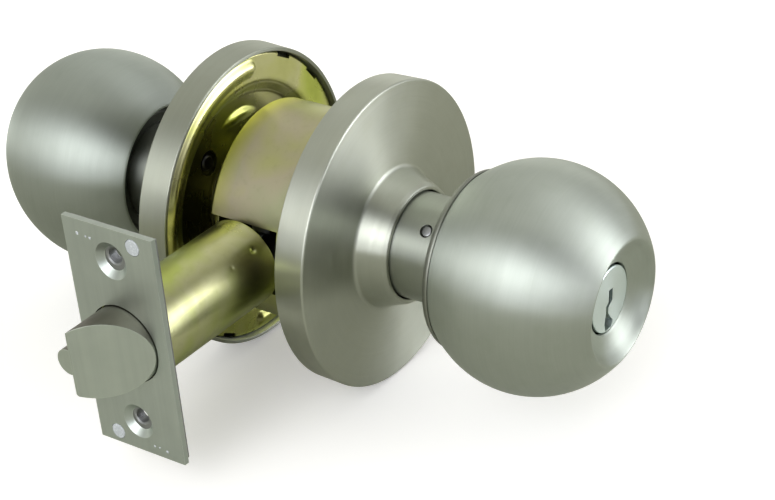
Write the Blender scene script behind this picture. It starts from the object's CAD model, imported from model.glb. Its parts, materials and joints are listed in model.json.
import json
import math
import random

import bmesh
import bpy
import numpy as np
from mathutils import Matrix, Vector


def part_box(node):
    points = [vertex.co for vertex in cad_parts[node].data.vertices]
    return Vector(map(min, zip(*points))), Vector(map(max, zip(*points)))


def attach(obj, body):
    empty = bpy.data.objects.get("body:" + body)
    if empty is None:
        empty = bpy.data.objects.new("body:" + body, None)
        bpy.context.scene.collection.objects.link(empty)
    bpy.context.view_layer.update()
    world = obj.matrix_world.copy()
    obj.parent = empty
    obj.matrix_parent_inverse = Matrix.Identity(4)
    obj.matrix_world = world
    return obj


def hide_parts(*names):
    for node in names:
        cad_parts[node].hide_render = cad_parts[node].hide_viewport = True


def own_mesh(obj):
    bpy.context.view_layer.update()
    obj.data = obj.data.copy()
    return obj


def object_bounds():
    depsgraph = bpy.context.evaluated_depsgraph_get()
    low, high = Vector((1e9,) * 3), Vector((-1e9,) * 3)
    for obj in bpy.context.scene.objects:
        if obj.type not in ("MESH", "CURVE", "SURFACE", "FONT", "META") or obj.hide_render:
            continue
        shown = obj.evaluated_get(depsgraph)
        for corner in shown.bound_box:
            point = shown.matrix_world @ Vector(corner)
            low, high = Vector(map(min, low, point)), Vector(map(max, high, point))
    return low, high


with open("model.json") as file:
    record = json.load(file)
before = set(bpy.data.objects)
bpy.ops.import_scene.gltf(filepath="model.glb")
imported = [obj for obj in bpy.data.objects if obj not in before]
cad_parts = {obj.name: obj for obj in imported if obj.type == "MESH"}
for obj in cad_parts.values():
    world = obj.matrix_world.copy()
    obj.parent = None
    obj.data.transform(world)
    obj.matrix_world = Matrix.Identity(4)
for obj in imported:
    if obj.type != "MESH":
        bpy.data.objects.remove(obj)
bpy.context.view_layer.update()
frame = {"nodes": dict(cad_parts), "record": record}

NODES = frame["nodes"]
BODY = {n: b for b, ns in frame["record"]["behaviour"]["bodies"].items() for n in ns}

# ------------------------------------------------------------------ layout, in millimetres
_lo, _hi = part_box("exterior_knob_shell")
AX = (_lo.x + _hi.x) * 500.0          # x of the knob axis in the row frame
KNOB_EXT, KNOB_INT = 66.0, 64.6       # ball centres
ROSE_EXT, ROSE_INT = 17.2, 15.2       # door edges of the roses
FX = -70.0                            # faceplate front, from the knob axis
BX = -68.55                           # backplate front
TX = -67.4                            # latch tube front
TIP = -82.7                           # bolt tip
REAR = -62.0                          # bolt rear
CATCH_A = math.radians(131.0)
SEG = 192


# ------------------------------------------------------------------ mesh helpers
def new_object(name, verts, faces):
    me = bpy.data.meshes.new(name)
    v = np.asarray(verts, float).reshape(-1, 3).copy()
    v[:, 0] += AX
    me.from_pydata([tuple(p) for p in (v * 0.001)], [], [tuple(f) for f in faces])
    me.validate()
    ob = bpy.data.objects.new(name, me)
    bpy.context.scene.collection.objects.link(ob)
    bm = bmesh.new()
    bm.from_mesh(me)
    bmesh.ops.remove_doubles(bm, verts=bm.verts, dist=1e-7)
    bmesh.ops.recalc_face_normals(bm, faces=bm.faces)
    bm.to_mesh(me)
    bm.free()
    return ob


def smooth(ob, angle=32.0):
    for p in ob.data.polygons:
        p.use_smooth = True
    ob.data.set_sharp_from_angle(angle=math.radians(angle))
    return ob


def fillet(pts, closed=True, guard=0.12):
    """pts are (r, u) or (r, u, radius) or (r, u, radius, steps); corners with a radius are rounded."""
    P = [tuple(p) + (0.0,) * (3 - len(p)) if len(p) < 3 else tuple(p) for p in pts]
    n, out = len(P), []
    for i, p in enumerate(P):
        rad, steps = p[2], int(p[3]) if len(p) > 3 else 6
        here = Vector(p[:2])
        if rad <= 0 or (not closed and i in (0, n - 1)):
            out.append(tuple(here))
            continue
        a, b = Vector(P[i - 1][:2]) - here, Vector(P[(i + 1) % n][:2]) - here
        la, lb = a.length, b.length
        a.normalize(), b.normalize()
        ang = a.angle(b)
        if ang > math.pi - 0.02:
            out.append(tuple(here))
            continue
        t = min(rad / math.tan(ang / 2), 0.48 * la, 0.48 * lb)
        r = t * math.tan(ang / 2)
        centre = here + (a + b).normalized() * (r / math.sin(ang / 2))
        s, e = here + a * t, here + b * t
        vs, ve = s - centre, e - centre
        a0 = math.atan2(vs.y, vs.x)
        d = math.atan2(ve.y, ve.x) - a0
        d = (d + math.pi) % (2 * math.pi) - math.pi
        if guard and la > 3 * t + guard:
            out.append(tuple(s + a * min(guard, la * 0.2)))
        for k in range(steps + 1):
            w = a0 + d * k / steps
            out.append((centre.x + r * math.cos(w), centre.y + r * math.sin(w)))
        if guard and lb > 3 * t + guard:
            out.append(tuple(e + b * min(guard, lb * 0.2)))
    return out


def lathe(name, prof, side=1, seg=SEG, axis="Y", centre=(0.0, 0.0), closed=True, bend=None):
    """Turns (r, u) points about the knob axis (Y) or the latch axis (X). centre is the axis's place in the other two."""
    prof = [(max(r, 0.0), side * u) for r, u in prof]
    rings, verts = [], []
    for r, u in prof:
        if r < 1e-6:
            rings.append([len(verts)] * seg)
            verts.append((0.0, u, 0.0))
        else:
            base = len(verts)
            for k in range(seg):
                w = 2 * math.pi * k / seg
                verts.append((r * math.cos(w), u, r * math.sin(w)))
            rings.append(list(range(base, base + seg)))
    faces = []
    m = len(prof)
    for i in range(m if closed else m - 1):
        A, B = rings[i], rings[(i + 1) % m]
        for k in range(seg):
            q = [A[k], A[(k + 1) % seg], B[(k + 1) % seg], B[k]]
            f = [q[0]]
            for v in q[1:]:
                if v not in f:
                    f.append(v)
            if len(f) > 2:
                faces.append(f)
    v = np.array(verts, float)
    if bend is not None:
        v = bend(v)
    if axis == "Y":
        v = v + np.array([centre[0], 0, centre[1]])
    else:
        v = np.stack([v[:, 1], v[:, 0] + centre[0], v[:, 2] + centre[1]], 1)
    return new_object(name, v, faces)


def dense(prof, step):
    """Adds points along the straight stretches, so that no stretch is longer than step."""
    out = []
    for i, p in enumerate(prof):
        q = prof[(i + 1) % len(prof)]
        d = math.hypot(q[0] - p[0], q[1] - p[1])
        n = max(1, int(math.ceil(d / step)))
        for k in range(n):
            out.append((p[0] + (q[0] - p[0]) * k / n, p[1] + (q[1] - p[1]) * k / n))
    return out


def box(name, x0, x1, y0, y1, z0, z1, rot=None):
    v = [(x, y, z) for x in (x0, x1) for y in (y0, y1) for z in (z0, z1)]
    f = [(0, 1, 3, 2), (4, 6, 7, 5), (0, 4, 5, 1), (2, 3, 7, 6), (0, 2, 6, 4), (1, 5, 7, 3)]
    v = np.array(v, float)
    if rot is not None:
        v = v @ np.array(rot).T
    return new_object(name, v, f)


def prism(name, outline, a, b, axis="Y"):
    """An outline pushed along an axis: [x, z] along Y, [x, y] along Z, [y, z] along X."""
    n = len(outline)
    v = []
    for u in (a, b):
        for p, q in outline:
            v.append({"Y": (p, u, q), "Z": (p, q, u), "X": (u, p, q)}[axis])
    f = [tuple(range(n)), tuple(range(2 * n - 1, n - 1, -1))]
    f += [(i, (i + 1) % n, n + (i + 1) % n, n + i) for i in range(n)]
    return new_object(name, v, f)


def rod(name, r, a, b, axis="Y", centre=(0.0, 0.0), seg=64):
    return lathe(name, [(0, a), (r, a), (r, b), (0, b)], 1, seg, axis, centre, closed=False)


def bake(ob):
    """Applies the modifiers to the mesh."""
    dg = bpy.context.evaluated_depsgraph_get()
    me = bpy.data.meshes.new_from_object(ob.evaluated_get(dg), depsgraph=dg)
    ob.modifiers.clear()
    old = ob.data
    ob.data = me
    me.name = ob.name
    if old.users == 0:
        bpy.data.meshes.remove(old)
    return ob


def boolean(ob, others, op="DIFFERENCE"):
    for o in others:
        before = len(ob.data.polygons)
        m = ob.modifiers.new("b", "BOOLEAN")
        m.operation = op
        m.object = o
        m.solver = "MANIFOLD"
        bpy.context.view_layer.update()
        bake(ob)
        if len(ob.data.polygons) < 4:
            raise RuntimeError("boolean emptied " + ob.name + " from %d faces" % before)
    for o in others:
        me = o.data
        bpy.data.objects.remove(o)
        bpy.data.meshes.remove(me)
    return ob


def rounded(ob, width, segments=3, angle=30.0):
    """Rounds the sharp edges of a flat-sided piece, for good, and keeps its flats flat in the shading."""
    for p in ob.data.polygons:
        p.use_smooth = True
    m = ob.modifiers.new("bevel", "BEVEL")
    m.width = width * 0.001
    m.segments = segments
    m.limit_method = "ANGLE"
    m.angle_limit = math.radians(angle)
    m.miter_outer = "MITER_ARC"
    m.use_clamp_overlap = True
    m.harden_normals = True
    bpy.context.view_layer.update()
    return bake(ob)


def coil(name, axis, a, b, centre, r, wire, turns, sides=10, per_turn=28, closed_turns=1.0):
    """A compression spring with closed, flattened end coils."""
    n = int(turns * per_turn)
    total = turns
    lead = wire * 2.05 / (b - a)
    pts = []
    for i in range(n + 1):
        t = i / n * total
        if t < closed_turns:
            s = lead * t
        elif t > total - closed_turns:
            s = 1 - lead * (total - t)
        else:
            k = (t - closed_turns) / (total - 2 * closed_turns)
            s = lead * closed_turns + (1 - 2 * lead * closed_turns) * k
        u = a + wire + (b - a - 2 * wire) * s
        w = 2 * math.pi * t
        pts.append((r * math.cos(w), u, r * math.sin(w)))
    P = np.array(pts)
    T = np.gradient(P, axis=0)
    T /= np.linalg.norm(T, axis=1)[:, None]
    R = P * np.array([1, 0, 1])
    R /= np.linalg.norm(R, axis=1)[:, None]
    B = np.cross(T, R)
    verts, faces = [], []
    for i in range(n + 1):
        for k in range(sides):
            w = 2 * math.pi * k / sides
            verts.append(P[i] + wire * (math.cos(w) * R[i] + math.sin(w) * B[i]))
    for i in range(n):
        for k in range(sides):
            q, s = i * sides + k, i * sides + (k + 1) % sides
            faces.append((q, s, s + sides, q + sides))
    faces.append(tuple(range(sides)))
    faces.append(tuple(range((n + 1) * sides - 1, n * sides - 1, -1)))
    v = np.array(verts)
    if axis == "Y":
        v = v + np.array([centre[0], 0, centre[1]])
    elif axis == "X":
        v = np.stack([v[:, 1], v[:, 0] + centre[0], v[:, 2] + centre[1]], 1)
    else:
        v = np.stack([v[:, 0] + centre[0], v[:, 2] + centre[1], v[:, 1]], 1)
    return smooth(new_object(name, v, faces), 60)


# ------------------------------------------------------------------ material helpers
def lin(r, g, b):
    def f(c):
        c /= 255.0
        return c / 12.92 if c <= 0.04045 else ((c + 0.055) / 1.055) ** 2.4
    return (f(r), f(g), f(b), 1.0)


class Tree:
    def __init__(self, name):
        self.m = bpy.data.materials.new(name)
        self.m.use_nodes = True
        self.t = self.m.node_tree
        self.t.nodes.clear()

    def node(self, kind, **props):
        n = self.t.nodes.new(kind)
        for k, v in props.items():
            setattr(n, k, v)
        return n

    def put(self, socket, value):
        if isinstance(value, bpy.types.NodeSocket):
            self.t.links.new(value, socket)
        else:
            socket.default_value = value

    def math(self, op, a, b=0.0, clamp=False):
        n = self.node("ShaderNodeMath", operation=op, use_clamp=clamp)
        self.put(n.inputs[0], a)
        self.put(n.inputs[1], b)
        return n.outputs[0]

    def vmath(self, op, a, b=(0, 0, 0), scale=None):
        n = self.node("ShaderNodeVectorMath", operation=op)
        self.put(n.inputs[0], a)
        if scale is None:
            self.put(n.inputs[1], b)
        else:
            self.put(n.inputs["Scale"], scale)
        return n.outputs["Value"] if op in ("LENGTH", "DOT_PRODUCT") else n.outputs["Vector"]

    def noise(self, vector, w=None, scale=1.0, detail=2.0, rough=0.5, dist=0.0):
        n = self.node("ShaderNodeTexNoise", noise_dimensions="4D" if w is not None else "3D")
        self.put(n.inputs["Vector"], vector)
        if w is not None:
            self.put(n.inputs["W"], w)
        n.inputs["Scale"].default_value = scale
        n.inputs["Detail"].default_value = detail
        n.inputs["Roughness"].default_value = rough
        n.inputs["Distortion"].default_value = dist
        return n.outputs["Fac"]

    def ramp(self, fac, stops):
        n = self.node("ShaderNodeValToRGB")
        self.put(n.inputs["Fac"], fac)
        el = n.color_ramp.elements
        while len(el) > 1:
            el.remove(el[-1])
        el[0].position, el[0].color = stops[0][0], stops[0][1]
        for p, c in stops[1:]:
            e = el.new(p)
            e.color = c
        return n.outputs["Color"]

    def span(self, fac, lo, hi, a=0.0, b=1.0):
        n = self.node("ShaderNodeMapRange")
        n.clamp = True
        self.put(n.inputs["Value"], fac)
        n.inputs["From Min"].default_value = lo
        n.inputs["From Max"].default_value = hi
        n.inputs["To Min"].default_value = a
        n.inputs["To Max"].default_value = b
        return n.outputs["Result"]

    def mix(self, fac, a, b, kind="MIX"):
        n = self.node("ShaderNodeMix", data_type="RGBA", blend_type=kind)
        self.put(n.inputs[0], fac)
        self.put(n.inputs[6], a)
        self.put(n.inputs[7], b)
        return n.outputs[2]

    def finish(self, colour, rough, metallic=1.0, aniso=0.0, tangent=None, height=None, strength=0.3,
               distance=0.00002, coat=0.0, coat_rough=0.2, bevel=None, specular=None):
        p = self.node("ShaderNodeBsdfPrincipled")
        self.put(p.inputs["Base Color"], colour)
        self.put(p.inputs["Roughness"], rough)
        self.put(p.inputs["Metallic"], metallic)
        p.inputs["Anisotropic"].default_value = aniso
        p.inputs["Anisotropic Rotation"].default_value = 0.25
        if tangent is not None:
            self.put(p.inputs["Tangent"], tangent)
        p.inputs["Coat Weight"].default_value = coat
        p.inputs["Coat Roughness"].default_value = coat_rough
        normal = None
        if bevel:
            bv = self.node("ShaderNodeBevel")
            bv.samples = 4
            bv.inputs["Radius"].default_value = bevel * 0.001
            normal = bv.outputs["Normal"]
        if height is not None:
            bump = self.node("ShaderNodeBump")
            bump.inputs["Strength"].default_value = strength
            bump.inputs["Distance"].default_value = distance
            self.put(bump.inputs["Height"], height)
            if normal is not None:
                self.put(bump.inputs["Normal"], normal)
            normal = bump.outputs["Normal"]
        if normal is not None:
            self.put(p.inputs["Normal"], normal)
            if coat:
                self.put(p.inputs["Coat Normal"], normal)
        out = self.node("ShaderNodeOutputMaterial")
        self.t.links.new(p.outputs["BSDF"], out.inputs["Surface"])
        return self.m

    def place(self):
        return self.node("ShaderNodeTexCoord").outputs["Object"]

    def turned(self, axis, centre):
        """Round an axis: unit radial vector, radius, height along the axis and the tangent along the turning marks."""
        p = self.vmath("SUBTRACT", self.place(), [c * 0.001 for c in centre])
        a = Vector((0, 1, 0)) if axis == "Y" else Vector((1, 0, 0))
        h = self.vmath("DOT_PRODUCT", p, tuple(a))
        flat = self.vmath("MULTIPLY", p, tuple(Vector((1, 1, 1)) - a))
        r = self.vmath("LENGTH", flat)
        unit = self.vmath("NORMALIZE", flat)
        circ = self.vmath("CROSS_PRODUCT", tuple(a), unit)
        tr = self.node("ShaderNodeVectorTransform", vector_type="VECTOR", convert_from="OBJECT", convert_to="WORLD")
        self.put(tr.inputs[0], circ)
        up = self.node("ShaderNodeCombineXYZ")
        self.put(up.inputs["Y" if axis == "Y" else "X"], h)
        return unit, r, h, up.outputs[0], tr.outputs[0]

    def wear(self, radius=0.35):
        """1 along an outer edge, where the rounded normal leaves the true one, and 0 on flats."""
        bv = self.node("ShaderNodeBevel")
        bv.samples = 4
        bv.inputs["Radius"].default_value = radius * 0.001
        g = self.node("ShaderNodeNewGeometry")
        d = self.vmath("DOT_PRODUCT", bv.outputs["Normal"], g.outputs["Normal"])
        return self.span(self.math("SUBTRACT", 1.0, d), 0.015, 0.16)


def turned_metal(name, axis, centre, base, rough, aniso, dark=0.93, light=1.04, scratch=0.35, grain=2600.0,
                 spread=0.07, wear_gain=0.35, tint=None):
    """Metal finished in a lathe: fine marks round the axis, slow colour drift, brighter rubbed edges."""
    t = Tree(name)
    unit, r, h, up, tangent = t.turned(axis, centre)
    def marks(freq, round_freq, detail):
        v = t.vmath("ADD", t.vmath("SCALE", unit, scale=round_freq), t.vmath("SCALE", up, scale=freq))
        return t.noise(v, t.math("MULTIPLY", r, freq), 1.0, detail, 0.6)
    fine = marks(grain, 1.6, 3.0)
    mid = marks(grain * 0.28, 0.9, 2.0)
    slow = t.noise(t.place(), None, 55.0, 3.0, 0.55)
    blot = t.noise(t.place(), None, 240.0, 2.0, 0.5)
    c0 = tuple(c * dark for c in base[:3]) + (1.0,)
    c1 = tuple(min(1.0, c * light) for c in base[:3]) + (1.0,)
    col = t.mix(t.span(slow, 0.3, 0.7), c0, c1)
    if tint is not None:
        col = t.mix(t.span(blot, 0.52, 0.75, 0.0, 0.25), col, tint)
    col = t.mix(t.span(fine, 0.25, 0.75, 0.0, 0.10), col, (1, 1, 1, 1), "SOFT_LIGHT")
    rr = t.math("ADD", t.span(mid, 0.2, 0.8, rough - spread * 0.5, rough + spread * 0.5), t.span(slow, 0.3, 0.7, -0.02, 0.02))
    if wear_gain:
        edge = t.wear()
        bright = tuple(min(1.0, c * 1.45 + 0.05) for c in base[:3]) + (1.0,)
        col = t.mix(t.math("MULTIPLY", edge, wear_gain), col, bright)
        rr = t.math("SUBTRACT", rr, t.math("MULTIPLY", edge, 0.06), clamp=True)
    height = t.math("ADD", t.math("MULTIPLY", fine, 0.6), t.math("MULTIPLY", mid, 0.4))
    return t.finish(col, rr, 1.0, aniso, tangent, height, scratch, 0.00002)


def drawn_metal(name, along, base, rough, aniso, scratch=0.3, grain=2400.0, spread=0.08, wear_gain=0.4, dark=0.92,
                light=1.05, pits=0.0, bevel=None, rubbed=None):
    """Metal brushed or drawn along one direction."""
    t = Tree(name)
    p = t.place()
    a = Vector(along)
    stretch = tuple(0.03 if abs(c) > 0.5 else 1.0 for c in a)
    v = t.vmath("MULTIPLY", p, stretch)
    fine = t.noise(v, None, grain, 3.0, 0.6)
    mid = t.noise(v, None, grain * 0.25, 2.0, 0.5)
    slow = t.noise(p, None, 70.0, 3.0, 0.55)
    speck = t.noise(p, None, 1900.0, 2.0, 0.5)
    c0 = tuple(c * dark for c in base[:3]) + (1.0,)
    c1 = tuple(min(1.0, c * light) for c in base[:3]) + (1.0,)
    col = t.mix(t.span(slow, 0.3, 0.7), c0, c1)
    col = t.mix(t.span(mid, 0.3, 0.8, 0.0, 0.12), col, (0.12, 0.12, 0.11, 1.0))
    if rubbed is not None:
        # greyed by sliding in its bore: the round top, not the end faces
        n = t.node("ShaderNodeTexCoord").outputs["Normal"]
        side = t.span(t.math("ABSOLUTE", t.vmath("DOT_PRODUCT", n, (1, 0, 0))), 0.05, 0.35, 1.0, 0.0)
        top = t.span(t.vmath("DOT_PRODUCT", n, (0, 0, 1)), 0.0, 0.5, 0.0, 0.9)
        col = t.mix(t.math("MULTIPLY", t.math("MULTIPLY", side, top), t.span(slow, 0.25, 0.7, 0.7, 1.0)), col, rubbed)
    edge = t.wear()
    bright = tuple(min(1.0, c * 1.5 + 0.06) for c in base[:3]) + (1.0,)
    col = t.mix(t.math("MULTIPLY", edge, wear_gain), col, bright)
    rr = t.span(mid, 0.2, 0.8, rough - spread * 0.5, rough + spread * 0.5)
    rr = t.math("SUBTRACT", rr, t.math("MULTIPLY", edge, 0.08), clamp=True)
    tr = t.node("ShaderNodeVectorTransform", vector_type="VECTOR", convert_from="OBJECT", convert_to="WORLD")
    tr.inputs[0].default_value = tuple(a)
    height = t.math("ADD", t.math("MULTIPLY", fine, 0.6), t.math("MULTIPLY", speck, 0.4 + pits))
    return t.finish(col, rr, 1.0, aniso, tr.outputs[0], height, scratch, 0.00002, bevel=bevel)


def zinc_metal(name, palette, rough, scale=38.0, aniso=0.0, axis="Y", centre=(0, 0, 0), scratch=0.25, shade=(), edge_tint=None, lathe_marks=0.4):
    """Yellow zinc dichromate plating: a thin film that drifts between yellow, green and rose."""
    t = Tree(name)
    unit, r, h, up, tangent = t.turned(axis, centre)
    p = t.place()
    drift = t.noise(p, None, scale, 3.0, 0.55, 0.6)
    drift2 = t.noise(t.vmath("ADD", p, (0.31, 0.17, 0.05)), None, scale * 2.3, 2.0, 0.5, 0.4)
    lw = t.node("ShaderNodeLayerWeight")
    lw.inputs["Blend"].default_value = 0.45
    film = t.math("ADD", t.math("MULTIPLY", drift, 0.75), t.math("MULTIPLY", drift2, 0.35))
    film = t.math("ADD", film, t.math("MULTIPLY", lw.outputs["Facing"], 0.22))
    col = t.ramp(film, palette)
    speck = t.noise(p, None, 620.0, 2.0, 0.5)
    col = t.mix(t.span(speck, 0.55, 0.85, 0.0, 0.12), col, (0.12, 0.11, 0.05, 1.0))
    # the film darkens between two radii, or turns a deeper yellow towards one end
    sep = t.node("ShaderNodeSeparateXYZ")
    t.put(sep.inputs[0], unit)
    for r_in, r_out, amount, top in shade:
        high = t.span(sep.outputs["Z"], 0.72, 0.97, 1.0, top)
        col = t.mix(t.math("MULTIPLY", t.span(r, r_in * 0.001, r_out * 0.001, amount, 0.0), high), col, (0.035, 0.03, 0.008, 1.0))
    if edge_tint is not None:
        h0, h1, tint = edge_tint
        high = t.span(sep.outputs["Z"], 0.1, 0.8, 0.08, 1.0)
        col = t.mix(t.math("MULTIPLY", t.span(h, h0 * 0.001, h1 * 0.001, 0.0, 0.9), high), col, tint)
    edge = t.wear()
    col = t.mix(t.math("MULTIPLY", edge, 0.45), col, lin(226, 222, 150))
    v = t.vmath("ADD", t.vmath("SCALE", unit, scale=1.2), t.vmath("SCALE", up, scale=900.0))
    marks = t.noise(v, t.math("MULTIPLY", r, 900.0), 1.0, 2.0, 0.6)
    rr = t.span(t.math("ADD", t.math("MULTIPLY", marks, 0.12), t.math("MULTIPLY", drift2, 0.88)), 0.3, 0.7, rough - 0.03, rough + 0.04)
    orange = t.noise(p, None, 420.0, 2.0, 0.5)
    height = t.math("ADD", t.math("MULTIPLY", orange, 0.6), t.math("MULTIPLY", marks, lathe_marks))
    return t.finish(col, rr, 1.0, aniso, tangent, height, scratch, 0.00004)


AXIS_C = (AX, 0.0, 0.0)
MAT = {}
MAT["satin"] = turned_metal("satin_stainless_turned", "Y", AXIS_C, lin(180, 187, 174), 0.44, 0.92, tint=lin(166, 174, 157), wear_gain=0.0)
MAT["satin_inner"] = turned_metal("satin_stainless_inner_knob", "Y", AXIS_C, lin(166, 173, 161), 0.44, 0.92, tint=lin(154, 162, 148), wear_gain=0.0)
MAT["satin_rose"] = turned_metal("satin_stainless_rose", "Y", AXIS_C, lin(178, 182, 166), 0.36, 0.93, tint=lin(170, 172, 152), wear_gain=0.3)
MAT["satin_rose_inner"] = turned_metal("satin_stainless_inner_rose", "Y", AXIS_C, lin(163, 167, 150), 0.42, 0.93, tint=lin(156, 158, 140), wear_gain=0.3)
MAT["satin_neck"] = turned_metal("satin_stainless_neck", "Y", AXIS_C, lin(162, 167, 153), 0.36, 0.85, wear_gain=0.2)
MAT["satin_back"] = turned_metal("satin_stainless_back", "Y", AXIS_C, lin(140, 143, 131), 0.42, 0.7, wear_gain=0.3)
MAT["face"] = drawn_metal("matt_stainless_faceplate", (0, 0, 1), lin(185, 193, 182), 0.40, 0.35, scratch=0.28)
MAT["bolt"] = drawn_metal("matt_stainless_bolt", (0, 0, 1), lin(184, 192, 178), 0.38, 0.2, scratch=0.35, pits=0.4, rubbed=lin(104, 96, 84))
MAT["steel"] = drawn_metal("plated_steel", (1, 0, 0), lin(150, 152, 150), 0.36, 0.3, scratch=0.3, bevel=0.15)
MAT["spindle"] = turned_metal("plated_steel_turned", "Y", AXIS_C, lin(146, 148, 144), 0.36, 0.4)
MAT["tube_steel"] = turned_metal("plated_steel_latch", "X", (0, 0, 0), lin(146, 148, 144), 0.36, 0.4)
MAT["nickel"] = turned_metal("satin_nickel_plug", "Y", AXIS_C, lin(222, 235, 230), 0.32, 0.45, grain=3400.0, wear_gain=0.2)
MAT["brass"] = turned_metal("machined_brass", "Y", AXIS_C, lin(196, 168, 102), 0.30, 0.5)
MAT["brass_pin"] = drawn_metal("machined_brass_pin", (0, 0, 1), lin(200, 172, 104), 0.28, 0.2)
MAT["spring"] = drawn_metal("spring_wire", (0, 1, 0), lin(120, 122, 124), 0.30, 0.0, scratch=0.2, grain=3500.0)
MAT["recess"] = turned_metal("dulled_stainless_recess", "Y", AXIS_C, lin(74, 76, 70), 0.42, 0.5, wear_gain=0.0)
MAT["dark_steel"] = drawn_metal("blackened_steel", (0, 1, 0), lin(62, 62, 58), 0.34, 0.1, scratch=0.3)
ZINC = [(0.30, lin(166, 170, 100)), (0.46, lin(206, 206, 136)), (0.56, lin(212, 210, 154)), (0.66, lin(208, 212, 124)),
        (0.78, lin(194, 204, 96)), (0.95, lin(158, 168, 74))]
ZINC_PALE = [(0.30, lin(150, 154, 116)), (0.48, lin(170, 172, 136)), (0.60, lin(178, 171, 142)), (0.72, lin(177, 178, 118)),
             (0.85, lin(164, 171, 88)), (0.98, lin(142, 148, 74))]
ZINC_TUBE = [(0.30, lin(146, 148, 88)), (0.46, lin(178, 180, 112)), (0.58, lin(194, 194, 146)), (0.70, lin(180, 190, 106)),
             (0.85, lin(164, 172, 80)), (0.98, lin(132, 138, 58))]
MAT["zinc"] = zinc_metal("zinc_dichromate_plate", ZINC, 0.27, 34.0, 0.2, "Y", AXIS_C, shade=((26.2, 29.0, 0.62, 0.12),), scratch=0.10, lathe_marks=0.15)
MAT["zinc_dark"] = zinc_metal("zinc_dichromate_shaded", ZINC, 0.35, 34.0, 0.2, "Y", AXIS_C, shade=((60.0, 61.0, 0.85, 1.0),))
MAT["zinc_drum"] = zinc_metal("zinc_dichromate_drum", ZINC_PALE, 0.36, 26.0, 0.35, "Y", AXIS_C, scratch=0.15, edge_tint=(5.0, 10.6, lin(194, 196, 78)))
MAT["zinc_tube"] = zinc_metal("zinc_dichromate_tube", ZINC_TUBE, 0.29, 30.0, 0.35, "X", (0, 0, 0), scratch=0.04, lathe_marks=0.0)


def rivet_material():
    t = Tree("bright_staked_rivet")
    p = t.place()
    speck = t.noise(p, None, 1500.0, 2.0, 0.6)
    cells = t.node("ShaderNodeTexVoronoi", feature="DISTANCE_TO_EDGE")
    t.put(cells.inputs["Vector"], p)
    cells.inputs["Scale"].default_value = 1400.0
    crack = t.span(cells.outputs["Distance"], 0.0, 0.30)
    col = t.mix(crack, lin(186, 192, 192), lin(214, 219, 218))
    col = t.mix(t.span(speck, 0.45, 0.7, 0.0, 0.5), col, lin(190, 196, 196))
    height = t.math("ADD", crack, speck)
    return t.finish(col, t.span(speck, 0.3, 0.7, 0.42, 0.6), 0.35, 0.0, None, height, 0.4, 0.00003)


MAT["rivet"] = rivet_material()


def add(ob, node, mat, squash=None):
    """The piece stands for its CAD node, rides on that node's body and takes its finish."""
    ob.data.materials.clear()
    ob.data.materials.append(MAT[mat])
    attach(ob, BODY[node])
    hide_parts(node)
    return ob


# ------------------------------------------------------------------ ball knobs
def knob_shell(name, side, c):
    R, Ri = 27.0, 26.0
    rb, rd = (20.5 if side < 0 else 18.2), 14.8
    out = []
    f0, f1 = math.pi - math.asin(rb / R), math.asin(rd / R)
    n = 72
    pts = [(R * math.sin(f0 + (f1 - f0) * i / n), c + R * math.cos(f0 + (f1 - f0) * i / n)) for i in range(n + 1)]
    # the dish's rim is a soft crease
    out += pts[:-2]
    crease = fillet([pts[-3], (rd - 0.05, c + 22.56, 0.8, 10), (13.5, c + 21.25)], closed=False, guard=0)
    out += crease[1:-1]
    for i in range(0, 19):
        s = i / 19
        r = 13.5 + (8.9 - 13.5) * s
        u = 21.25 + (18.85 - 21.25) * s - 0.42 * math.sin(math.pi * s ** 0.8)
        out.append((r, c + u))
    out += fillet([(8.9, c + 18.85), (8.4, c + 18.56, 0.22, 5), (8.4, c + 17.6)], closed=False, guard=0)
    out += [(8.5, c + 17.5), (10.6, c + 18.3), (12.6, c + 19.6)]
    g0, g1 = math.asin(15.1 / Ri), math.pi - math.asin((rb - 0.9) / Ri)
    out += [(Ri * math.sin(g0 + (g1 - g0) * i / 28), c + Ri * math.cos(g0 + (g1 - g0) * i / 28)) for i in range(29)]
    # rolled rear edge
    if side < 0:
        out += [(19.66, c - 17.12), (19.8, c - 17.36), (20.05, c - 17.54), (20.3, c - 17.62)]
    else:
        out += [(17.26, c - 19.62), (17.3, c - 19.86), (17.46, c - 20.08), (17.72, c - 20.16), (17.98, c - 20.09)]
    return smooth(lathe(name, out, side, SEG), 50)


def knob_back(name, side, c):
    if side < 0:
        # carries the ball's curve on and is hemmed over the shell's edge, with a raised rim
        ball = [(r, c - math.sqrt(26.86 ** 2 - r * r)) for r in (18.25, 18.6)]
        hem = [(18.95, -19.08), (19.25, -19.16), (19.6, -19.22), (20.0, -19.12), (20.4, -18.9), (20.8, -18.54), (21.1, -18.12), (21.28, -17.72), (21.33, -17.45),
               (21.28, -17.24), (21.14, -17.13), (21.0, -17.14), (20.88, -17.26), (20.76, -17.5), (20.6, -17.8), (20.3, -17.9), (19.7, -17.86), (19.2, -17.45)]
        prof = fillet([(13.0, c - 17.3, 0.1), (16.35, c - 17.36, 0.6, 6), (16.95, c - 20.1, 0.55, 6), (17.9, c - 20.2, 0.5, 6)] + ball
                      + [(r, c + u) for r, u in hem] + [(19.1, c - 16.2, 0.2, 3), (13.0, c - 16.0, 0.1)])
    else:
        # a disc set back inside the shell
        prof = fillet([(13.0, c - 17.0, 0.1), (15.0, c - 17.0, 0.5, 4), (15.6, c - 16.75, 0.5, 4), (18.6, c - 16.75, 0.5, 5), (19.2, c - 16.6, 0.2, 3), (19.2, c - 16.1, 0.2, 3),
                       (13.0, c - 16.0, 0.1)])
    return smooth(lathe(name, prof, side, SEG), 40)


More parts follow.
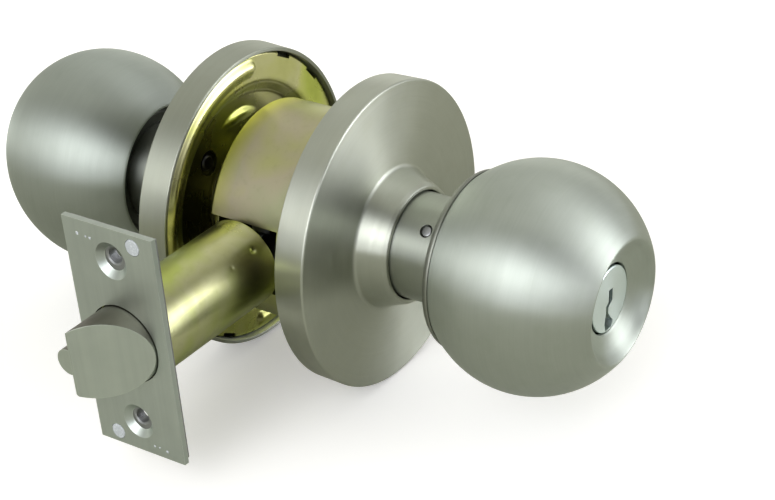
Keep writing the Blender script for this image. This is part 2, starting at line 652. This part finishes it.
def radial(name, r, u, side, a, b, seg=48):
    v, f = [], []
    for x in (a, b):
        for k in range(seg):
            w = 2 * math.pi * k / seg
            v.append((x, r * math.cos(w), r * math.sin(w)))
    f = [tuple(range(seg)), tuple(range(2 * seg - 1, seg - 1, -1))] + [(k, (k + 1) % seg, seg + (k + 1) % seg, seg + k) for k in range(seg)]
    v = np.array(v)
    ca, sa = math.cos(CATCH_A), math.sin(CATCH_A)
    out = np.stack([v[:, 0] * ca - v[:, 2] * sa, v[:, 1] + side * u, v[:, 0] * sa + v[:, 2] * ca], 1)
    return new_object(name, out, f)


def knob_shank(name, side, c, u):
    prof = fillet([(11.4, c - 37.6, 0.1), (12.7, c - 37.6, 0.35, 5), (12.7, c - 15.4, 0.3, 4), (16.5, c - 15.4, 0.3, 4), (16.5, c - 14.2, 0.3, 4), (11.4, c - 14.2, 0.1)])
    ob = lathe(name, prof, side, SEG)
    boolean(ob, [radial("cut", 1.6, u, side, 8, 16)])
    return rounded(ob, 0.12, 2, 35)


def knob_catch(name, side, u):
    ca, sa = math.cos(CATCH_A), math.sin(CATCH_A)
    rot = [[ca, 0, -sa], [0, 1, 0], [sa, 0, ca]]
    prof = fillet([(0, 8.3), (1.3, 8.3), (1.3, 12.45, 0.35, 5), (0, 12.55)], closed=False, guard=0)
    v = lathe(name, prof, 1, 48, "X", (0, 0), closed=False)
    co = np.array([p.co for p in v.data.vertices]) * 1000 - np.array([AX, 0, 0])
    co = co @ np.array(rot).T + np.array([0, side * u, 0])
    for p, q in zip(v.data.vertices, co):
        p.co = Vector((q[0] + AX, q[1], q[2])) * 0.001
    leaf = np.array([(x, y, z) for x in (7.6, 8.5) for y in (-side * 1.8 - 4.5, -side * 1.8 + 4.5) for z in (-2.3, 2.3)], float)
    leaf = leaf @ np.array(rot).T + np.array([0, side * u, 0])
    f = [(0, 1, 3, 2), (4, 6, 7, 5), (0, 4, 5, 1), (2, 3, 7, 6), (0, 2, 6, 4), (1, 5, 7, 3)]
    plate = new_object("leaf", leaf, f)
    boolean(v, [plate], "UNION")
    return rounded(v, 0.2, 3, 35)


for tag, side, c, u in (("exterior", -1, KNOB_EXT, 40.7), ("interior", 1, KNOB_INT, 39.3)):
    add(knob_shell(tag + "_knob_ball", side, c), tag + "_knob_shell", "satin" if side < 0 else "satin_inner")
    add(knob_back(tag + "_knob_crimped_back", side, c), tag + "_knob_back", "satin_back" if side < 0 else "recess")
    add(knob_shank(tag + "_knob_neck", side, c, u), tag + "_knob_shank", "satin_neck")
    add(knob_catch(tag + "_knob_catch_pin", side, u), tag + "_knob_catch", "steel")


# ------------------------------------------------------------------ roses
def rose(name, side, u0):
    f = u0 + 8.1
    prof = fillet([(35.8, u0, 0.12, 2), (36.72, u0, 0.25, 3), (37.0, f, 0.5, 8), (17.0, f + 0.16, 1.2, 9), (15.75, f + 3.2, 5.0, 8), (14.55, f + 6.6, 1.6, 7),
                   (13.98, f + 7.65, 0.5, 5), (13.1, f + 7.6, 0.22, 4),
                   (13.1, f + 6.6, 0.2, 2), (13.9, f + 5.6, 0.6, 3), (15.0, f + 1.7, 1.0, 3), (15.9, f - 1.2, 1.0, 4), (35.7, f - 1.3, 0.7, 4)])
    return smooth(lathe(name, dense(prof, 1.5), side, SEG), 40)


add(rose("exterior_rose_shell", -1, ROSE_EXT), "exterior_rose", "satin_rose")
add(rose("interior_rose_shell", 1, ROSE_INT), "interior_rose", "satin_rose_inner")

liner = lathe("exterior_rose_cup", fillet([(14.3, 18.2, 0.2), (35.2, 18.2, 0.5, 5), (35.2, 20.6, 0.2), (34.2, 20.6, 0.2), (34.2, 19.2, 0.5, 4), (16.2, 19.2, 0.6, 4),
              (16.2, 23.4, 0.3), (14.3, 23.4, 0.2)]), -1, SEG)
add(smooth(liner, 40), "exterior_rose_liner", "zinc_dark")


def threaded(prof_inner, u0, u1, r, pitch=1.25, depth=0.45):
    """Ridged outside between u0 and u1: a turned stand-in for a fine thread."""
    out, n = [], int((u1 - u0) / pitch)
    for i in range(n):
        a = u0 + (u1 - u0) * i / n
        p = (u1 - u0) / n
        out += [(r - depth, a + p * 0.08), (r, a + p * 0.42), (r, a + p * 0.58), (r - depth, a + p * 0.92)]
    return out


hub = [(11.4, 14.9), (20.0, 14.9), (20.0, 16.6), (13.9, 16.6)] + threaded(None, 17.0, 27.6, 13.9) + [(13.5, 28.0), (11.4, 28.0)]
add(smooth(lathe("exterior_hub_sleeve", hub, -1, 128), 35), "exterior_hub", "zinc_dark")
hub = [(11.4, 10.3), (16.5, 10.3), (16.5, 11.8), (13.9, 11.8)] + threaded(None, 12.2, 26.0, 13.9) + [(13.5, 26.4), (11.4, 26.4)]
add(smooth(lathe("interior_hub_sleeve", hub, 1, 128), 35), "interior_hub", "zinc_dark")

# ------------------------------------------------------------------ drum and its end plates
drum = lathe("drum_shell", dense(fillet([(24.7, 16.2, 0.1, 2), (25.9, 16.2, 0.25, 3), (25.9, -10.5, 1.0, 7), (24.72, -10.45, 0.05, 1)]), 2.0), -1, SEG)
boolean(drum, [box("cut", -30, -18, -9.4, 12, -8.6, 8.6)])
add(rounded(drum, 0.18, 2, 35), "housing_drum", "zinc_drum")
add(smooth(lathe("inner_end_disc", fillet([(11.4, 8.9, 0.15), (24.4, 8.9, 0.3), (24.4, 10.2, 0.3), (11.4, 10.2, 0.15)]), 1, 128)), "interior_end_plate", "zinc")
add(smooth(lathe("outer_end_disc", fillet([(11.4, 13.5, 0.15), (24.4, 13.5, 0.3), (24.4, 14.8, 0.3), (11.4, 14.8, 0.15)]), -1, 128)), "exterior_end_plate", "zinc")

# ------------------------------------------------------------------ inside mounting plate, with its rib, edge notches and screw holes
RIB_R = 32.6


def emboss(v):
    out = v.copy()
    r = np.hypot(v[:, 0], v[:, 2])
    a = np.arctan2(v[:, 2], v[:, 0])
    def ridge(rc, w, a0, a1, h, soft):
        a0, span = math.radians(a0), math.radians(a1 - a0)
        along = np.mod(a - a0, 2 * math.pi)
        ends = np.clip(along / soft, 0, 1) * np.clip((span - along) / soft, 0, 1)
        ends = ends * ends * (3 - 2 * ends)
        across = np.clip(1 - ((r - rc) / (w * (0.35 + 0.65 * ends))) ** 2, 0, 1)
        return h * across ** 1.6 * ends
    for a0 in (0, 180):
        out[:, 1] -= ridge(RIB_R, 2.15, 80.5 + a0, 190 + a0, 1.1, 0.06)
        out[:, 1] -= ridge(21.2, 1.7, 69 + a0, 110 + a0, 0.85, 0.3)
    return out


pl = fillet([(14.3, 19.4, 0.2), (26.0, 19.4, 1.6, 8), (28.5, 16.6, 2.4, 12), (35.4, 16.6, 0.5, 4), (35.4, 17.7, 0.2), (29.6, 17.7, 1.6, 6), (26.8, 20.4, 1.4, 6), (14.3, 20.4, 0.2)])
plate = lathe("mounting_plate_pressing", dense(pl, 0.35), 1, 360, bend=emboss)
cutters = []
for a in (62, 40, 242, 220):
    w = math.radians(a)
    rot = [[math.cos(w), 0, -math.sin(w)], [0, 1, 0], [math.sin(w), 0, math.cos(w)]]
    cutters.append(box("cut", 34.3, 38, 14, 20, -2.5, 2.5, rot))
for k in (1, -1):
    cutters.append(rod("cut", 3.1, 15, 24, "Y", (-12.7 * k, 14.2 * k), 64))
boolean(plate, cutters)
add(smooth(plate, 35), "interior_mounting_plate", "zinc")

for tag, k in (("upper", 1), ("lower", -1)):
    prof = fillet([(0, 19.5), (1.5, 19.5, 0.2, 3), (1.9, 19.9, 0.1, 2), (1.9, 20.5), (4.2, 20.5, 0.15, 3), (4.2, 21.3, 0.3, 4), (3.4, 21.7, 0.5, 4), (0, 21.7)], closed=False, guard=0)
    s = lathe("plate_screw_fine_" + tag, prof, 1, 64, "Y", (-12.7 * k, 14.2 * k), closed=False)
    boolean(s, [box("cut", -12.7 * k - 0.35, -12.7 * k + 0.35, 21.0, 23, 14.2 * k - 2.2, 14.2 * k + 2.2),
                box("cut", -12.7 * k - 2.2, -12.7 * k + 2.2, 21.0, 23, 14.2 * k - 0.35, 14.2 * k + 0.35)])
    add(smooth(s, 35), "plate_screw_" + tag, "dark_steel")

# ------------------------------------------------------------------ spindles and the retractor
CAM = 12.127


def horn(sign):
    pts = [(1.5, 8.0)]
    for i in range(25):
        a = math.pi / 3 * i / 24
        w = 1.5 + CAM * a
        pts.append((w * math.cos(a) - CAM * math.sin(a), w * math.sin(a) + CAM * math.cos(a)))
    pts += [(-4.6, 17.9), (-5.6, 8.0)]
    return [(x, sign * z) for x, z in pts]


sp = lathe("interior_spindle_tube", fillet([(9.6, 6.6, 0.1), (11.1, 6.6, 0.1), (11.1, 55.8, 0.4, 4), (2.2, 55.8, 0.1), (2.2, 54.6, 0.1), (9.6, 54.6, 0.3)]), 1, 128)
boolean(sp, [smooth(lathe("cam", [(2.2, 3.6), (10.0, 3.6), (10.0, 7.0), (2.2, 7.0)], 1, 128)), prism("h", horn(1), 3.6, 7.0), prism("h", horn(-1), 3.6, 7.0)], "UNION")
boolean(sp, [radial("cut", 1.6, 39.3, 1, 6, 14), box("cut", -5.2, 5.2, 3.0, 7.6, -1.2, 1.2)])
add(rounded(sp, 0.15, 2, 35), "interior_spindle", "spindle")

sp = lathe("exterior_spindle_tube", fillet([(9.6, 6.6, 0.1), (11.1, 6.6, 0.1), (11.1, 55.8, 0.4, 4), (9.6, 55.8, 0.1)]), -1, 128)
boolean(sp, [lathe("cam", [(3.6, 3.6), (10.0, 3.6), (10.0, 7.0), (3.6, 7.0)], -1, 128)], "UNION")
boolean(sp, [radial("cut", 1.6, 40.7, -1, 6, 14), box("cut", -1.6, 1.6, -7.6, -3.0, -12, -6), box("cut", -1.6, 1.6, -7.6, -3.0, 6, 12)])
add(rounded(sp, 0.15, 2, 35), "exterior_spindle", "spindle")

rt = box("retractor_slide_block", -19.0, 9.5, -2.6, 2.6, -8.0, 8.0)
boolean(rt, [box("u", 1.8, 6.0, -2.6, 2.6, -14.2, 14.2), box("u", 1.8, 6.0, -6.5, 6.5, 10.4, 14.2), box("u", 1.8, 6.0, -6.5, 6.5, -14.2, -10.4)], "UNION")
boolean(rt, [box("c", -17.8, -14.2, -3, 3, -6.4, 6.4), box("c", -20, -17.5, -3, 3, -3.8, 3.8), box("c", -14.4, 2.2, -3, 3, -2.0, 2.0),
             rod("c", 2.0, -8.0, 10.0, "X", (0, 4.9)), rod("c", 2.0, -8.0, 10.0, "X", (0, -4.9))])
add(rounded(rt, 0.25, 3, 35), "retractor", "steel")
for tag, z in (("upper", 4.9), ("lower", -4.9)):
    s = coil("retractor_return_spring_" + tag, "X", -7.7, 23.3, (0, z), 1.35, 0.28, 15)
    add(s, "retractor_spring_" + tag, "spring")
    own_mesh(s)

# ------------------------------------------------------------------ key cylinder
PINS = (77.4, 73.4, 69.4, 65.4, 61.4)
hs = lathe("key_cylinder_body", fillet([(6.3, 55.0, 0.1), (8.2, 55.0, 0.2), (8.2, 56.3), (11.0, 56.3, 0.3), (11.0, 58.2, 0.3), (8.2, 58.2), (8.2, 81.2, 0.2), (6.3, 81.2, 0.1)]), -1, 96)
boolean(hs, [box("u", -3.4, 3.4, -80.4, -56.6, 5.0, 13.6)], "UNION")
boolean(hs, [rod("c", 6.3, -82, -54, "Y", (0, 0), 96)])
for u in PINS:
    boolean(hs, [lathe("c", [(0, 3), (1.6, 3), (1.6, 16), (0, 16)], 1, 40, "Y", (0, 0), closed=False)] if False else [
        prism("c", [(1.6 * math.cos(2 * math.pi * k / 40), -u + 1.6 * math.sin(2 * math.pi * k / 40)) for k in range(40)], 3, 16, "Z")])
add(rounded(hs, 0.15, 2, 35), "cylinder_housing", "brass")
add(rounded(box("chamber_cap_strip", -3.4, 3.4, -80.4, -56.6, 13.7, 14.5), 0.2, 3), "chamber_cap", "brass")

KEYWAY = [(-0.7, 2.5), (1.0, 2.5), (1.0, -0.5), (-0.75, -1.7), (-0.75, -3.3), (1.45, -6.0), (0.6, -7.35), (-1.9, -7.35), (-2.45, -5.4),
          (-1.85, -2.7), (-1.85, -1.1), (-0.7, -0.35)]
pg = lathe("key_plug", fillet([(0, 52.6), (4.5, 52.6, 0.2), (4.5, 54.6), (6.0, 54.6, 0.2), (6.0, 81.6), (7.85, 81.6, 0.1), (7.85, 84.9, 0.35, 6), (0, 84.9)], closed=False), -1, 128, closed=False)
boolean(pg, [prism("c", KEYWAY, -85.5, -56.5)])
for u in PINS:
    boolean(pg, [prism("c", [(0.5 + 1.5 * math.cos(2 * math.pi * k / 40), -u + 1.5 * math.sin(2 * math.pi * k / 40)) for k in range(40)], 1.6, 7, "Z")])
add(rounded(pg, 0.12, 2, 35), "cylinder_plug", "nickel")
for i, u in enumerate(PINS):
    low = (3.1, 2.8, 3.4, 2.9, 3.2)[i]
    def pin(name, r, z0, z1, x, tip):
        prof = fillet([(0, z0), (r * tip, z0, 0.1, 3), (r, z0 + r * (1 - tip) * 1.3, 0.15, 3), (r, z1, 0.12, 3), (0, z1)], closed=False, guard=0)
        v, seg = [], 40
        ob = lathe(name, prof, 1, seg, "Y", (0, 0), closed=False)
        for p in ob.data.vertices:
            q = p.co * 1000
            p.co = Vector((q[0], -u - q[2], q[1])) * 0.001 + Vector((x * 0.001, 0, 0))
        return smooth(ob, 50)
    add(pin("key_pin_%d_fine" % (i + 1), 1.2, low, 5.75, 0.5, 0.45), "key_pin_%d" % (i + 1), "brass_pin")
    add(pin("driver_pin_%d_fine" % (i + 1), 1.3, 6.5, 9.6, 0.0, 0.9), "driver_pin_%d" % (i + 1), "brass_pin")
    add(coil("pin_spring_%d_fine" % (i + 1), "Z", 9.7, 13.5, (0, -u), 1.0, 0.17, 6, 8, 20), "pin_spring_%d" % (i + 1), "spring")
clip = lathe("plug_clip_ring", fillet([(4.7, 53.3, 0.15), (7.2, 53.3, 0.2), (7.2, 54.2, 0.2), (4.7, 54.2, 0.15)]), -1, 64)
boolean(clip, [box("c", -2.4, 2.4, -56, -52, -9, 0)])
add(rounded(clip, 0.1, 2), "plug_retainer_clip", "spring")
add(rounded(box("tailpiece_bar", -0.9, 0.9, -52.4, -10.6, -3.2, 3.2), 0.25, 3), "tailpiece", "steel")

# ------------------------------------------------------------------ push-button
add(smooth(lathe("button_bush_ring", fillet([(6.1, 74.0, 0.1), (7.2, 74.0, 0.2), (7.2, 80.6, 0.2), (8.1, 80.6, 0.2), (8.1, 83.0, 0.3, 5), (6.1, 83.0, 0.25, 4)]), 1, 128)), "button_bushing", "satin_back")
bt = fillet([(0, 76.0), (5.8, 76.0, 0.2), (5.8, 88.05, 0.9, 8), (3.6, 87.95, 3.0, 6), (0, 87.35)], closed=False)
add(smooth(lathe("thumb_button", bt, 1, 128, closed=False), 40), "push_button", "satin")
add(smooth(lathe("button_rod_turned", fillet([(0, -5.0), (1.5, -5.0, 0.35, 4), (1.5, 75.8, 0.2), (0, 75.8)], closed=False), 1, 48, closed=False), 40), "button_rod", "spindle")
s = coil("button_return_spring", "Y", 56.0, 75.8, (0, 0), 3.6, 0.35, 9)
add(s, "button_spring", "spring")
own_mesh(s)

# ------------------------------------------------------------------ tubular latch
fp = box("faceplate_pressing", FX, FX + 1.4, -12.7, 12.7, -28.575, 28.575)
rv = (-7.0, 25.6)
cuts = [rod("c", 9.6, FX - 1, FX + 3, "X", (0, 0), 160)]
for z in (20.6, -20.6):
    cuts.append(lathe("c", [(0, FX - 0.4), (4.62, FX - 0.4), (4.4, FX + 0.0), (2.7, FX + 1.5), (2.7, FX + 3), (0, FX + 3)], 1, 96, "X", (0, z), closed=False))
for k in (1, -1):
    cuts.append(rod("c", 2.0, FX - 1, FX + 3, "X", (rv[0] * k, rv[1] * k), 64))
boolean(fp, cuts)
add(rounded(fp, 0.22, 3, 28), "latch_faceplate", "face")

bp = box("backplate_pressing", BX, BX + 1.1, -12.0, 12.0, -27.875, 27.875)
cuts = [rod("c", 9.75, BX - 1, BX + 3, "X", (0, 0), 128)]
for z in (21.2, -20.0):
    # the screw holes are drawn through and cut with a few turns of thread
    boolean(bp, [lathe("u", [(0, BX + 0.5), (3.1, BX + 0.5), (3.1, BX + 2.6), (2.8, BX + 2.9), (0, BX + 2.9)], 1, 64, "X", (0, z), closed=False)], "UNION")
    thread = [(0, BX - 1), (2.2, BX - 1)]
    for k in range(6):
        u = BX + 0.05 + 0.46 * k
        thread += [(2.2, u), (1.82, u + 0.17), (1.82, u + 0.21), (2.2, u + 0.40)]
    cuts.append(lathe("c", thread + [(2.2, BX + 4), (0, BX + 4)], 1, 64, "X", (0, z), closed=False))
for k in (1, -1):
    cuts.append(rod("c", 2.0, BX - 1, BX + 3, "X", (rv[0] * k, rv[1] * k), 64))
boolean(bp, cuts)
add(rounded(bp, 0.18, 2, 28), "latch_backplate", "steel")
for tag, k in (("upper", 1), ("lower", -1)):
    prof = fillet([(0, FX - 0.1), (1.9, FX - 0.1, 0.15, 4), (1.9, BX + 1.1, 0.1, 2), (0, BX + 1.1)], closed=False, guard=0)
    add(smooth(lathe("staked_rivet_" + tag, prof, 1, 64, "X", (rv[0] * k, rv[1] * k), closed=False), 40), "faceplate_rivet_" + tag, "rivet")

# small stake marks along the ends of the faceplate
marks = bmesh.new()
for y, z, r in ((8.8, 25.1, 0.42), (6.4, 24.9, 0.27), (5.2, 24.8, 0.34), (-4.0, -26.2, 0.3), (-5.5, -26.15, 0.24), (-7.7, -26.5, 0.4)):
    m = Matrix.Translation(Vector((AX + FX, y, z)) * 0.001) @ Matrix.Diagonal((0.0001, r * 0.001, r * 0.001, 1.0))
    bmesh.ops.create_uvsphere(marks, u_segments=20, v_segments=12, radius=1.0, matrix=m)
me = bpy.data.meshes.new("faceplate_stake_marks")
marks.to_mesh(me)
marks.free()
stakes = bpy.data.objects.new("faceplate_stake_marks", me)
bpy.context.scene.collection.objects.link(stakes)
smooth(stakes, 80)
me.materials.append(MAT["rivet"])
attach(stakes, BODY["latch_faceplate"])


def dents(v):
    """Two small crimp dimples near the tube's rear end. v is (y, x, z) round the latch axis."""
    out = v.copy()
    for x, a, rad, depth in ((-31.5, 137.8, 1.0, 0.45), (-40.1, 141.1, 0.5, 0.16), (-31.5, -42.2, 1.0, 0.45)):
        w = math.radians(a)
        c = np.array([10.5 * math.cos(w), x, 10.5 * math.sin(w)])
        d = np.linalg.norm(v - c, axis=1) / rad
        r = np.hypot(v[:, 0], v[:, 2])
        fall = depth * np.exp(-(d * 1.5) ** 2)
        s = (r - fall) / np.maximum(r, 1e-6)
        out[:, 0], out[:, 2] = v[:, 0] * s, v[:, 2] * s
        v = out.copy()
    return out


tb = fillet([(9.6, TX, 0.1, 2), (10.5, TX, 0.2, 2), (10.5, -27.0, 0.35, 5), (9.6, -27.0, 0.2, 2)])
add(smooth(lathe("latch_tube_drawn", dense(tb, 0.35), 1, 256, "X", bend=dents), 40), "latch_tube", "zinc_tube")
tg = lathe("tube_guide_disc", fillet([(0, -29.2), (9.3, -29.2, 0.3), (9.3, -27.8, 0.3), (0, -27.8)], closed=False), 1, 96, "X", closed=False)
boolean(tg, [box("c", -31, -26, -1.4, 1.4, -4.0, 4.0)])
add(rounded(tg, 0.12, 2, 35), "tube_end_guide", "tube_steel")

bo = rod("spring_bolt", 9.3, TIP, REAR, "X", (0, 0), 160)
boolean(bo, [box("c", TIP - 1, REAR + 1, 5.0, 12, -12, 12),
             prism("c", [(TIP - 4, 4.4), (TIP, 4.4), (FX - 0.5, -9.3), (FX - 0.5, -14), (TIP - 4, -14)], -12, 12, "Z"),
             box("c", -68.0, REAR + 1, -1.3, 1.3, -3.8, 3.8)])
boolean(bo, [box("u", REAR - 1.5, -45.0, 2.5, 7.0, 5.4, 6.5), box("u", REAR - 1.5, -45.0, 2.5, 7.0, -6.5, -5.4), box("u", -46.0, -45.0, 5.7, 7.8, -6.5, 6.5)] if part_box("latch_bolt")[1].x * 1000 - AX > -50 else [], "UNION")
add(rounded(bo, 0.6, 5, 28), "latch_bolt", "bolt")
tl = box("latch_tail_bar", -67.7, -14.6, -1.0, 1.0, -3.4, 3.4)
boolean(tl, [box("u", -17.3, -14.6, -1.0, 1.0, -6.0, 6.0)], "UNION")
add(rounded(tl, 0.25, 3, 35), "latch_tail", "steel")
dp = rod("deadlock_plunger_bar", 3.2, TIP + 0.4, REAR, "X", (6.0, 0), 96)
boolean(dp, [box("c", TIP - 2, REAR + 1, -2, 5.3, -6, 6)])
add(rounded(dp, 0.6, 4, 28), "deadlock_plunger", "bolt")
s = coil("bolt_return_spring", "X", REAR + 0.1, -29.3, (0, 0), 4.6, 0.42, 11)
add(s, "bolt_spring", "spring")
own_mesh(s)
ps_lo, ps_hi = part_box("plunger_spring")
s = coil("plunger_return_spring", "X", ps_lo.x * 1000 - AX, ps_hi.x * 1000 - AX, (7.4, 0), 1.25, 0.22, 12, 8, 20)
add(s, "plunger_spring", "spring")
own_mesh(s)

# ------------------------------------------------------------------ floor, light and camera
lo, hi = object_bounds()
FLOOR_Z = lo.z - 0.0004


def floor_material():
    t = Tree("pale_floor")
    p = t.place()
    n = t.noise(p, None, 9.0, 3.0, 0.5)
    col = t.mix(t.span(n, 0.3, 0.7), (0.93, 0.92, 0.86, 1), (0.96, 0.95, 0.89, 1))
    lp = t.node("ShaderNodeLightPath")
    col = t.mix(lp.outputs["Is Camera Ray"], (0.52, 0.52, 0.44, 1), col)
    out = t.finish(col, 0.75, 0.0)
    bsdf = [n for n in t.t.nodes if n.bl_idname == "ShaderNodeBsdfPrincipled"][0]
    bsdf.inputs["Emission Color"].default_value = (1.0, 1.0, 1.0, 1.0)
    t.put(bsdf.inputs["Emission Strength"], t.math("MULTIPLY", lp.outputs["Is Camera Ray"], 0.25))
    return out


bpy.ops.mesh.primitive_plane_add(size=8, location=(0, 0, FLOOR_Z))
floor = bpy.context.object
floor.name = "floor"
floor.data.materials.append(floor_material())

# soft studio light: broad pools of white light round the object, each given by its strength and direction
POOLS = [
    (5.44, (0.34, -0.93, 0.14)),
    (4.87, (-0.82, -0.26, 0.51)),
    (3.79, (0.50, -0.77, 0.39)),
    (2.63, (-0.96, -0.22, -0.14)),
    (2.60, (0.65, -0.76, -0.01)),
    (2.33, (-0.96, -0.09, 0.26)),
    (2.17, (-0.75, 0.03, 0.66)),
    (2.16, (0.86, -0.49, -0.16)),
    (1.32, (0.81, 0.58, 0.03)),
    (1.30, (-0.50, 0.86, 0.07)),
    (1.18, (-0.18, 0.16, 0.97)),
    (0.94, (-0.88, 0.23, 0.41)),
    (0.80, (0.56, 0.47, 0.68)),
    (0.70, (0.38, -0.24, 0.89)),
    (0.68, (0.04, 1.00, -0.03)),
    (0.68, (0.80, 0.11, 0.59)),
    (0.64, (-0.40, 0.57, 0.72)),
    (0.63, (0.95, 0.26, 0.18)),
    (0.60, (0.19, 0.60, 0.78)),
    (0.54, (0.03, -0.31, 0.95)),
    (0.51, (-0.30, 0.94, -0.18)),
    (0.48, (0.16, 0.91, 0.38)),
    (0.48, (0.37, 0.92, 0.12)),
    (0.42, (1.00, 0.05, -0.07)),
    (0.33, (-0.17, 0.96, 0.22)),
    (0.30, (0.51, 0.19, 0.84)),
    (0.18, (-0.04, 0.78, 0.62)),
    (0.18, (0.42, 0.74, 0.53)),
    (0.16, (0.94, -0.08, 0.34)),
    (0.12, (-0.99, 0.12, 0.01)),
    (0.09, (-0.53, 0.22, 0.82)),
    (0.06, (-0.77, 0.63, -0.09)),
]
GAIN = 0.85
SPREAD = 20.0
world = bpy.data.worlds.new("studio")
bpy.context.scene.world = world
world.use_nodes = True
wt = Tree.__new__(Tree)
wt.t = world.node_tree
wt.t.nodes.clear()
look = wt.node("ShaderNodeTexCoord").outputs["Generated"]
light = None
for strength, toward in POOLS:
    near = wt.math("SUBTRACT", wt.vmath("DOT_PRODUCT", look, toward), 1.0)
    pool = wt.math("MULTIPLY", wt.math("EXPONENT", wt.math("MULTIPLY", near, SPREAD)), strength * GAIN)
    # the strong pools are a little cooler than the room's own light
    pool = wt.vmath("SCALE", (1.0, 1.0, 1.10) if strength > 2.0 else (1.0, 0.995, 0.95), scale=pool)
    light = pool if light is None else wt.vmath("ADD", light, pool)
lit = wt.node("ShaderNodeBackground")
wt.put(lit.inputs["Color"], light)
lit.inputs["Strength"].default_value = 1.0
seen = wt.node("ShaderNodeBackground")
seen.inputs["Color"].default_value = (1.0, 1.0, 1.0, 1.0)
pick = wt.node("ShaderNodeMixShader")
wt.put(pick.inputs[0], wt.node("ShaderNodeLightPath").outputs["Is Camera Ray"])
wt.put(pick.inputs[1], lit.outputs[0])
wt.put(pick.inputs[2], seen.outputs[0])
wt.put(wt.node("ShaderNodeOutputWorld").inputs["Surface"], pick.outputs[0])

cam_data = bpy.data.cameras.new("camera")
cam = bpy.data.objects.new("camera", cam_data)
bpy.context.scene.collection.objects.link(cam)
RIGHT = Vector((0.5581743774955132, -0.8283728311660403, -0.04732670380932125))
UP = Vector((0.5759351325008673, 0.345754503629929, 0.740778338216521))
BACK = Vector((-0.5972772283108614, -0.4407405992254181, 0.6700803211076378))
POS = Vector((-326.07945616256666 + AX, -261.0507080904011, 213.7813402105547)) * 0.001
m = Matrix((RIGHT, UP, BACK)).transposed().to_4x4()
m.translation = POS
cam.matrix_world = m
cam_data.sensor_width = 36.0
cam_data.lens = 1832.2674979900057 * 36.0 / 775.0
cam_data.clip_start, cam_data.clip_end = 0.01, 20.0
SHIFTS = {"shift_x": (387.5 - 406.61040671562165) / 775.0, "shift_y": (697.6181110805923 - 250.0) / 775.0}
# a rising-front lens, straightened again whenever the camera stands anywhere else
for prop, value in SHIFTS.items():
    d = cam_data.driver_add(prop).driver
    d.type = "SCRIPTED"
    for nm, axis_name in (("cx", "LOC_X"), ("cy", "LOC_Y")):
        v = d.variables.new()
        v.name = nm
        v.type = "TRANSFORMS"
        v.targets[0].id = cam
        v.targets[0].transform_type = axis_name
        v.targets[0].transform_space = "WORLD_SPACE"
    d.expression = "%.6f if abs(cx - (%.6f)) + abs(cy - (%.6f)) < 0.0005 else 0.0" % (value, POS.x, POS.y)
bpy.context.scene.camera = cam
bpy.context.scene.view_settings.view_transform = "Standard"
bpy.context.view_layer.update()
